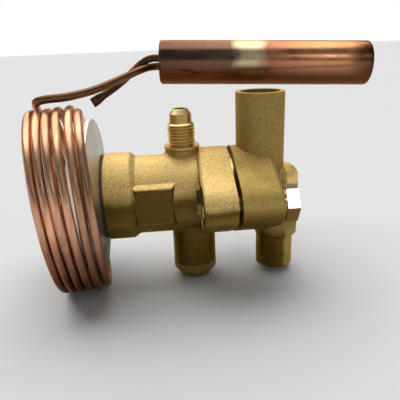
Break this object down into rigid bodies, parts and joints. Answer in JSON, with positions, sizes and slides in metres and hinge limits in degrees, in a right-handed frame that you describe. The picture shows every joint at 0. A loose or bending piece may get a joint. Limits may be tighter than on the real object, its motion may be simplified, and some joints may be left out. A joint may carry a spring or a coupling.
{
  "type": "refrigerant expansion valve",
  "caption": "Refrigerant expansion valve: a power head with coiled capillary and sensing bulb works a pin through an angle body with solder sockets, an equalizer flare and an adjusting stem.",
  "frame": {"origin": "centre of the outlet socket's mouth", "axes": "+Z out of the outlet socket; +X along the main axis from the power head to the bolted body flange"},
  "size_m": [0.1508, 0.079, 0.0996],
  "materials": {
    "forged_brass": "forged and shot-blasted, dull",
    "machined_brass": "turned, bright",
    "stainless_steel": "stamped, satin",
    "spring_steel": "drawn wire",
    "plated_steel": "zinc plated, bright",
    "copper": "drawn copper tube, partly tarnished",
    "seal_rubber": "moulded",
    "gasket_fibre": "pressed fibre sheet"
  },
  "bodies": {
    "valve": {"valve_body": "forged_brass", "body_flange": "forged_brass", "gland_nut": "machined_brass", "cage_body": "machined_brass", "spring_retainer": "machined_brass", "capillary_ferrule": "machined_brass", "head_outer_shell": "stainless_steel", "head_inner_shell": "stainless_steel", "diaphragm": "stainless_steel", "superheat_spring": "spring_steel", "pin_spring": "spring_steel", "flange_bolts": "plated_steel", "capillary_tube": "copper", "sensing_bulb": "copper", "bulb_fill_stub": "copper", "stem_packing": "seal_rubber", "rod_seal": "seal_rubber", "head_gasket": "gasket_fibre", "body_side_gasket": "gasket_fibre", "flange_side_gasket": "gasket_fibre", "cage_tip_gasket": "gasket_fibre"},
    "adjusting_stem": {"adjusting_stem": "machined_brass"},
    "adjusting_gear": {"adjusting_gear": "machined_brass"},
    "spring_carrier": {"spring_carrier": "machined_brass"},
    "valve_pin": {"buffer_plate": "machined_brass", "push_rod": "stainless_steel", "valve_pin": "stainless_steel"},
    "seal_cap": {"seal_cap": "machined_brass", "cap_seal_ring": "seal_rubber"}
  },
  "joints": [
    {"name": "stem_turn", "type": "hinge", "parent": "valve", "child": "adjusting_stem", "pos_m": [-0.0292, 0, -0.0603], "axis": [0, 0, 1], "range_deg": [-1440, 1440]},
    {"name": "gear_turn", "type": "hinge", "parent": "valve", "child": "adjusting_gear", "pos_m": [-0.0352, 0, -0.0403], "axis": [1, 0, 0], "range_deg": [-655, 655]},
    {"name": "carrier_travel", "type": "slide", "parent": "valve", "child": "spring_carrier", "axis": [1, 0, 0], "range_m": [-0.00182, 0.00182], "deforming": ["superheat_spring"]},
    {"name": "pin_stroke", "type": "slide", "parent": "valve", "child": "valve_pin", "axis": [1, 0, 0], "range_m": [0, 0.001], "stiffness_N_per_m": 2000, "deforming": ["pin_spring", "diaphragm"]},
    {"name": "cap_pull", "type": "slide", "parent": "valve", "child": "seal_cap", "axis": [0, 0, -1], "range_m": [0, 0.007]}
  ],
  "couplings": [
    {"joint": "gear_turn", "follows": "carrier_travel", "rad_per_m": -6283.2},
    {"joint": "stem_turn", "follows": "carrier_travel", "rad_per_m": 13823}
  ]
}
